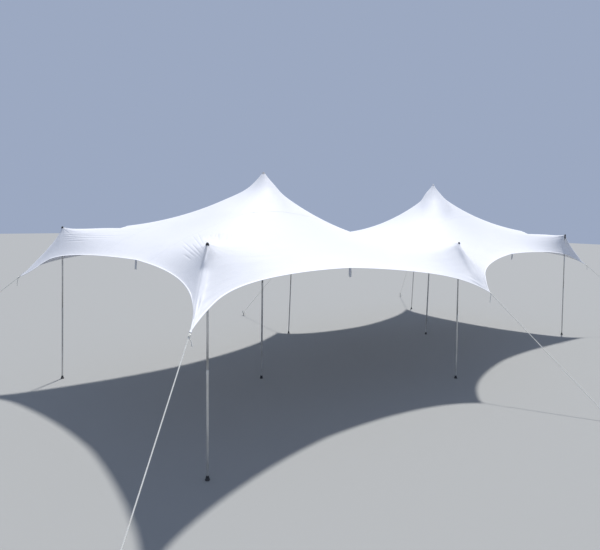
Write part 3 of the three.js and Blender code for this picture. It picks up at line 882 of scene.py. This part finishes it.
def fold_heights(p):
    """The part of the folds that the mesh carries, as heights over its points."""
    side = np.stack([p[..., 0], np.abs(p[..., 1]), p[..., 2]], -1)
    total = np.zeros(p.shape[:-1])
    for space, (lie, folds) in zip((np.abs(p), side, p), FOLDS_ON_TENT):
        for fold_line in folds:
            height, *line = fold_line
            middle, directions = fold_frame(lie, *line)
            runs = [((space - middle) @ axis, wider, power) for axis, wider, power in directions]
            spread = sum(np.maximum(run / wider, -run) ** power for run, wider, power in runs)
            total += in_mesh(fold_line) * height * np.exp(-spread)
    for _, _, _, top in HEADS.values():
        total *= ease((np.linalg.norm(p - top, axis=-1) - HEAD_CLEAR) / HEAD_FADE)
    return total


# Ripples round each head and tip: their height, their distance from it and how wide a ring they fill
HEAD_RIPPLES = (0.0012, 0.17, 0.1)
TIP_RIPPLES = (0.0014, 0.34, 0.2)
# Height of the slow waves all over the cloth
SWELL = 0.0022


def ripples(wave, r, height, distance, spread):
    return height * wave * np.exp(-((r - distance) / spread) ** 2)


def shape_canopy():
    p = draw_ridges(smooth_surface())
    n = normals_of(p)
    lift = np.zeros(GRID_X.shape)
    for k, (name, (kind, _, _, _)) in enumerate(HEADS.items()):
        r, angle = from_spot(*HEAD_AT[name])
        count = 17 if kind == "side" else 13
        wave = np.cos(count * angle + k) * (0.6 + 0.4 * np.cos(2.3 * angle + 1.7 * k))
        lift += ripples(wave, r, *HEAD_RIPPLES)
    for k, name in enumerate(TIPS):
        r, angle = from_spot(*TIP_AT[name])
        wave = np.cos(14 * angle + 2.1 * k) + 0.5 * np.cos(23 * angle + k)
        lift += ripples(wave, r, *TIP_RIPPLES)
    lift += SWELL * np.sin(2.1 * GRID_X + 1.3 * GRID_Y) * np.sin(1.7 * GRID_Y - 0.8 * GRID_X + 1)
    p = p + (lift + fold_heights(p))[..., None] * n
    for name in HEADS:
        p = seat_on_pole(p, name)
    return p


MID = shape_canopy()
NORMAL = normals_of(MID)
NFU, NFV = len(FINE_U), len(FINE_V)


def canopy_grime():
    """More dirt near the hems and tips."""
    edge = np.minimum(HALF_X - np.abs(GRID_X), HALF_Y - np.abs(GRID_Y))
    g = 0.5 * np.exp(-edge / 0.05)
    for spot in TIP_AT.values():
        g += 0.7 * np.exp(-from_spot(*spot)[0] / 0.15)
    return np.clip(g, 0, 1).ravel()


def rim_loop():
    """Grid places round the edge, so that the cloth lies to the left seen from above."""
    loop = [(i, 0) for i in range(NFU - 1)] + [(NFU - 1, j) for j in range(NFV - 1)]
    loop += [(i, NFV - 1) for i in range(NFU - 1, 0, -1)] + [(0, j) for j in range(NFV - 1, 0, -1)]
    return np.array(loop)


RIM = rim_loop()


def build_canopy():
    index = np.arange(NFU * NFV).reshape(NFU, NFV)
    a, b = index[:-1, :-1].ravel(), index[1:, :-1].ravel()
    c, d = index[1:, 1:].ravel(), index[:-1, 1:].ravel()
    total = NFU * NFV
    top = np.stack([a, b, c, d], 1)
    under = np.stack([a, d, c, b], 1) + total
    rim = index[RIM[:, 0], RIM[:, 1]]
    after = np.roll(rim, -1)
    wall = np.stack([rim, rim + total, after + total, after], 1)
    points = np.concatenate([MID + NORMAL * CLOTH / 2, MID - NORMAL * CLOTH / 2]).reshape(-1, 3)
    uv = np.tile(np.stack([GRID_X.ravel(), GRID_Y.ravel()], 1), (2, 1))
    panels = [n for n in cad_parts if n.startswith("canopy_")]
    faces = np.concatenate([top, under, wall])
    obj = add_mesh("canopy", points, faces, FABRIC, uv=uv, slot="fabric", replaces=panels)
    grime = obj.data.attributes.new("grime", "FLOAT", "POINT")
    grime.data.foreach_set("value", np.tile(canopy_grime(), 2).astype(np.float32))
    return obj


def sweep(line, across, normal, section, aside, closed=False):
    """A bar along a line; aside tells how far across the bar's cloth each corner of its section is."""
    rings = np.stack([line + across * s + normal * t for s, t in section], 1)
    uv = np.stack([np.repeat(run_along(line), len(section)), np.tile(aside, len(line))], 1)
    return rings.reshape(-1, 3), ring_faces(len(line), len(section), turned=True, closed=closed), uv


def build_hem():
    """Tape folded over the canopy's edge."""
    p = MID[RIM[:, 0], RIM[:, 1]]
    n = NORMAL[RIM[:, 0], RIM[:, 1]]
    along = unit(np.roll(p, -1, 0) - np.roll(p, 1, 0))
    inward = unit(np.cross(n, along))
    h = CLOTH / 2
    top = h + HEM_RISE
    section = [(HEM_WIDTH, top), (0.001, top), (-0.0016, top * 0.6), (-0.0024, 0), (-0.0016, -top * 0.6),
               (0.001, -top), (HEM_WIDTH, -top), (HEM_WIDTH, -h + 0.0004), (0.0012, -h + 0.0004),
               (0.0012, h - 0.0004), (HEM_WIDTH, h - 0.0004)]
    points, faces, uv = sweep(p, inward, n, section, run_along(np.array(section)), closed=True)
    return add_mesh("canopy_hem", points, faces, HEM, uv=uv, slot="webbing")


def strip(centre, across, normal, width, low, high):
    """A closed flat ribbon along a line, from one height over the line to another."""
    section = [(-width / 2, high), (width / 2, high), (width / 2, low), (-width / 2, low)]
    return sweep(centre, across, normal, section, [0, width, width, 0])


def surface_at(x, y):
    """The canopy's middle surface and its normal at flat cloth coordinates."""
    return sample(MID, x, y, NORMAL)


def build_seams():
    """Flat seams that run straight along the tent on both faces of the cloth."""
    shape = Shape()
    x = FINE_U[4:-4]
    for side in (-1, 1):
        rows = [np.interp(side * SEAM_Y, MID[i, :, 1], FINE_V) for i in range(4, NFU - 4)]
        p, n = surface_at(x, np.array(rows))
        along = unit(np.gradient(p, axis=0))
        across = unit(np.cross(n, along))
        h = CLOTH / 2
        shape.add(*strip(p, across, n, SEAM_WIDTH, h - SEAM_SUNK, h + SEAM_RISE))
        shape.add(*strip(p, across, n, SEAM_WIDTH, -h - SEAM_RISE, -h + SEAM_SUNK))
    return shape.make("canopy_seams", HEM, slot="webbing")


def build_head_patches():
    """Round doubled patches under the canopy at each pole head."""
    shape = Shape()
    r = np.linspace(0.003, PATCH_RADIUS, 9)[:, None]
    turn = full_turn(40)
    flat = np.stack([r * np.cos(turn), r * np.sin(turn)], -1)
    for i, j in HEAD_AT.values():
        p, n = surface_at(U[i] + flat[..., 0], V[j] + flat[..., 1])
        rings = np.concatenate([p - n * (CLOTH / 2 - PATCH_SUNK), (p - n * (CLOTH / 2 + PATCH_THICK))[::-1]])
        uv = np.concatenate([flat, flat[::-1]])
        shape.add(rings.reshape(-1, 3), ring_faces(len(rings), len(turn), turned=True), uv.reshape(-1, 2))
    return shape.make("head_patches", WEBBING, slot="webbing")


canopy = build_canopy()
hem = build_hem()
seams = build_seams()
patches = build_head_patches()


# Poles

def build_pole(name, kind):
    """A tube in two lengths with a swaged joint and a push button, a padded head and a rubber ferrule."""
    low, middle = POLES[name]
    axis = unit(middle - low)
    r, ball = TUBE[kind], BALL[kind]
    length = float(np.linalg.norm(middle - low)) + ball
    joint = length * 0.47
    lower = [(0.008, 0), (0.008, r - 0.001), (0.0095, r), (joint - 0.052, r), (joint - 0.049, r + 0.0009)]
    lower += [(joint - 0.003, r + 0.0009), (joint, r + 0.0002), (joint, r - 0.0012), (joint, 0)]
    upper = [(joint - 0.02, 0), (joint - 0.02, r - 0.0008), (length - 0.06, r - 0.0008), (length - 0.06, 0)]
    tube_shape = Shape().add(*lathe(low, axis, lower, 28)).add(*lathe(low, axis, upper, 28))
    side = unit(np.cross(axis, (0.3, 1.0, 0)))
    button = low + axis * (joint - 0.026) + side * (r - 0.0025)
    pushed_out = [(0, 0), (0, 0.004), (0.005, 0.0036), (0.0062, 0.002), (0.0066, 0)]
    tube_shape.add(*lathe(button, side, pushed_out, 14))
    tube_shape.make(name + "_tube", ALUMINIUM, slot="pole", replaces=[name + "_pole"])
    fittings = Shape()
    neck = length - 0.075
    head = [(neck, r - 0.0006), (neck, r + 0.0012), (length - ball - 0.004, r + 0.0012)]
    for k in range(9):
        a = (k / 8) * math.pi / 2
        head.append((length - ball + ball * math.sin(a), max(ball * math.cos(a), 0)))
    fittings.add(*lathe(low, axis, [(head[0][0], 0)] + head, 28))
    ferrule = [(0, 0), (0, r + 0.0018), (0.002, r + 0.0026), (0.017, r + 0.0022), (0.019, r + 0.0010),
               (0.019, 0)]
    fittings.add(*lathe(low, axis, ferrule, 28))
    fittings.make(name + "_fittings", RUBBER, slot="rubber")


def build_foot(name):
    """A moulded rubber foot: a flat rim with a groove round it and a stepped collar that takes the pole."""
    lo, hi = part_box(name + "_foot")
    centre = np.array([(lo.x + hi.x) / 2, (lo.y + hi.y) / 2, 0.0])
    r, top = (hi.x - lo.x) / 2, hi.z
    profile = [(0, 0), (0, r - 0.002), (0.0014, r - 0.0002), (0.0042, r), (0.0050, r - 0.0012),
               (0.0062, r - 0.0012), (0.0070, r), (0.0104, r - 0.0002), (0.0118, r - 0.0018),
               (0.0124, r * 0.84), (0.0140, r * 0.79), (top - 0.0090, r * 0.77), (top - 0.0082, r * 0.74),
               (top - 0.0016, r * 0.73), (top - 0.0003, r * 0.69), (top - 0.0003, 0)]
    Shape().add(*lathe(centre, (0, 0, 1), profile, 48)).make(
        name + "_base", RUBBER, slot="rubber", replaces=[name + "_foot"])


def build_cap(name):
    """The small rubber cap that holds the canopy on a side pole; its dark top also stands in for the shade
    under the tip.
    """
    lo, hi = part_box(name + "_head_cap")
    i, j = HEAD_AT[name]
    apex, _ = surface_at(U[i:i + 1], V[j:j + 1])
    base = apex[0] + (0, 0, CLOTH / 2)
    r = (hi.x - lo.x) / 2
    profile = [(-0.018, 0), (-0.018, r * 1.23), (-0.015, r * 1.27), (-0.006, r * 1.2), (0.002, r * 1.03)]
    profile += [(0.008, r * 0.83), (0.013, r * 0.53), (0.0155, 0)]
    Shape().add(*lathe(base, (0, 0, 1), profile, 28)).make(
        name + "_cap", RUBBER, slot="rubber", replaces=[name + "_head_cap"])


for head_name, (head_kind, _, _, _) in HEADS.items():
    build_pole(head_name, head_kind)
    build_foot(head_name)
    if head_kind == "side":
        build_cap(head_name)


# Ropes, stakes and straps

STRAND_R = 0.0029
STRAND_OFFSET = 0.0027
LAY_LENGTH = 0.046
STAKE_R = 0.009


def strands(shape, path, spin=0.0):
    """Three twisted strands along a path."""
    run = run_along(path)
    count = max(8, int(run[-1] / LAY_LENGTH * 9))
    s = np.linspace(0, run[-1], count)
    line = np.stack([np.interp(s, run, path[:, k]) for k in range(3)], 1)
    a, b = frames(line)
    for k in range(3):
        turn = 2 * np.pi * (s / LAY_LENGTH + k / 3) + spin
        offset = STRAND_OFFSET * (np.cos(turn)[:, None] * a + np.sin(turn)[:, None] * b)
        shape.add(*tube(line + offset, STRAND_R, 6))


def coil(centre, axis, radius, turns, pitch, points=14):
    """Points of a helix round an axis."""
    axis = unit(axis)
    side = unit(np.cross(axis, (0.2, 0.1, 1.0)))
    other = np.cross(axis, side)
    t = np.linspace(0, turns, int(turns * points) + 1)
    turn = 2 * np.pi * t
    return (centre + np.outer(t * pitch, axis)
            + radius * (np.outer(np.cos(turn), side) + np.outer(np.sin(turn), other)))


def smooth_line(points, count):
    """A smooth line through points."""
    points = np.asarray(points, float)
    run = run_along(points)
    central, _, _ = slopes(points, run)
    s = np.linspace(0, run[-1], count)
    cell = np.clip(np.searchsorted(run, s, side="right") - 1, 0, len(run) - 2)
    share = (s - run[cell]) / np.diff(run)[cell]
    return hermite(points, run, central, central, cell, share)


# The loose end below each knot: how far it swings out lengthwise and crosswise, and how far it drops
TAILS = {
    "front_left": (0.022, -0.021, 0.078),
    "front_middle": (-0.010, 0.004, 0.13),
    "front_right": (0.020, -0.012, 0.10),
    "back_left": (-0.018, 0.012, 0.12),
    "back_middle": (0.014, 0.010, 0.11),
    "back_right": (0.012, 0.020, 0.13),
}
# How much of its swing and of its drop the loose end has at each of its points
TAIL_SHARES = ((0, 0), (0.45, 0.22), (0.9, 0.6), (1, 1))
# The eye through each tip, as places down the rope and beside it
EYE = ((0.034, 0.004), (0.018, 0.008), (0.007, 0.006), (0.0045, 0), (0.007, -0.006), (0.018, -0.008),
       (0.034, -0.004))
# The height of the loose end beside each stake, and its points: aside, forward and share of the drop
LYING_AT = 0.0102
LYING = ((0, 0, 0), (0.028, -0.006, 0.3), (0.055, 0, 0.94), (0.085, 0, 1))


def build_rope(name):
    """A guy rope: its eye and wraps at the tip, its run, its hitch at the stake and both loose ends."""
    hitch, knot = axis_of(name + "_guy_rope")
    down = unit(hitch - knot)
    shape = Shape()
    side = unit(np.cross(down, (0, 0, 1)))
    other = np.cross(side, down)
    strands(shape, smooth_line([knot + down * far + side * aside for far, aside in EYE], 40))
    strands(shape, coil(knot + down * 0.012, down, 0.0086, 2.2, 0.0100), spin=1.0)
    strands(shape, np.linspace(knot + down * 0.026, hitch - down * 0.012, 60))
    east, north, drop = TAILS[name]
    root = knot + down * 0.030 + side * 0.008
    tail = smooth_line([root + (east * out, north * out, -drop * fall) for out, fall in TAIL_SHARES], 30)
    strands(shape, tail)
    shape.add(*tube(tail[-1] + np.outer(np.linspace(-0.012, 0.004, 5), unit(tail[-1] - tail[-2])),
                    [0.0056, 0.0062, 0.0064, 0.0062, 0.0048], 10))
    low, high = axis_of(name + "_stake")
    post = unit(high - low)
    middle = low + post * (hitch[2] / post[2])
    strands(shape, coil(middle - post * 0.010, post, 0.0146, 2.4, 0.0110, points=18), spin=0.5)
    strands(shape, coil(hitch - down * 0.062, down, 0.0108, 3.6, 0.0108), spin=2.0)
    end = hitch - down * 0.030 + other * 0.008
    fall = np.array([0, 0, LYING_AT - end[2]])
    strands(shape, smooth_line([end + side * a + other * b + fall * share for a, b, share in LYING], 24))
    shape.make(name + "_rope", ROPE, slot="rope", replaces=[name + "_guy_rope"])


def build_stake(name):
    """A round steel pin with a mushroomed head and a welded ring."""
    low, high = axis_of(name + "_stake")
    axis = unit(high - low)
    length = float(np.linalg.norm(high - low))
    r = STAKE_R
    profile = [(0, 0), (0, r), (length - 0.014, r), (length - 0.011, r * 1.22), (length - 0.004, r * 1.3),
               (length - 0.001, r * 1.1), (length, r * 0.5), (length, 0)]
    shape = Shape().add(*lathe(low, axis, profile, 24))
    ring_at = low + axis * (length - 0.026)
    turn = np.linspace(0, 2 * np.pi, 29)
    side = unit(np.cross(axis, (0, 0, 1)))
    out = np.cross(side, axis)
    collar = ring_at + (r + 0.0004) * (np.outer(np.cos(turn), side) + np.outer(np.sin(turn), out))
    shape.add(*tube(collar, 0.0022, 8))
    shape.make(name + "_peg", STEEL, slot="stake", replaces=[name + "_stake"])


STRAP_WIDTH = 0.046
STRAP_HALF = 0.0008


def build_strap(name):
    """A doubled webbing tail that hangs from the hem."""
    lo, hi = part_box(name + "_strap")
    co = node_points(name + "_strap")
    centre = (np.array(lo) + np.array(hi)) / 2
    along = np.linalg.svd((co - centre)[:, :2], full_matrices=False)[2][0]
    along = np.array([*along, 0.0])
    across = np.cross((0, 0, 1), along)
    top = np.array([centre[0], centre[1], hi.z + 0.004])
    drop = hi.z - lo.z
    t = np.linspace(0, 1, 22)
    shape = Shape()
    for layer, (bulge, share, turn) in enumerate(((0.004, 1.0, 0.10), (-0.0035, 0.86, -0.16))):
        line = top - np.outer(t * drop * share, (0, 0, 1))
        line += np.outer(bulge * np.sin(t * 2.6) + 0.004 * t * t, across)
        wide = unit(np.outer(np.cos(turn * t), along) + np.outer(np.sin(turn * t), across))
        normal = unit(np.cross(wide, unit(np.gradient(line, axis=0))))
        shape.add(*strip(line, wide, normal, STRAP_WIDTH * (1.0 - 0.06 * layer), -STRAP_HALF, STRAP_HALF))
    shape.make(name + "_tail", WEBBING, slot="webbing", replaces=[name + "_strap"])


for tip_name in TIPS:
    build_rope(tip_name)
    build_stake(tip_name)
for strap_name in ("left_side", "right_side", "front_left", "front_right", "back_left", "back_right"):
    build_strap(strap_name)


# Floor and light

def build_stage():
    mesh = bpy.data.meshes.new("floor")
    corners = [(x * FLOOR_SIZE, y * FLOOR_SIZE, 0) for x, y in ((-1, -1), (1, -1), (1, 1), (-1, 1))]
    mesh.from_pydata(corners, [], [(0, 1, 2, 3)])
    floor = add_object("floor", mesh)
    mat, _, shader, _ = new_material("pale_floor")
    shader.inputs["Base Color"].default_value = (0.31, 0.315, 0.31, 1)
    shader.inputs["Roughness"].default_value = 0.95
    mesh.materials.append(mat)

    world = bpy.data.worlds.new("studio")
    world.use_nodes = True
    sky = world.node_tree.nodes["Background"]
    sky.inputs[0].default_value = (0.52, 0.62, 0.84, 1)
    sky.inputs[1].default_value = 0.64
    bpy.context.scene.world = world

    lamp = bpy.data.lights.new("sun", "SUN")
    lamp.energy = 4.0
    lamp.color = (1.0, 0.975, 0.94)
    lamp.angle = math.radians(3.0)
    sun = add_object("sun", lamp)
    sun.rotation_mode = "QUATERNION"
    sun.rotation_quaternion = Vector(SUNLIGHT).to_track_quat("-Z", "Y")
    bpy.context.scene.view_settings.view_transform = "Standard"
    bpy.context.scene.view_settings.look = "None"


build_stage()
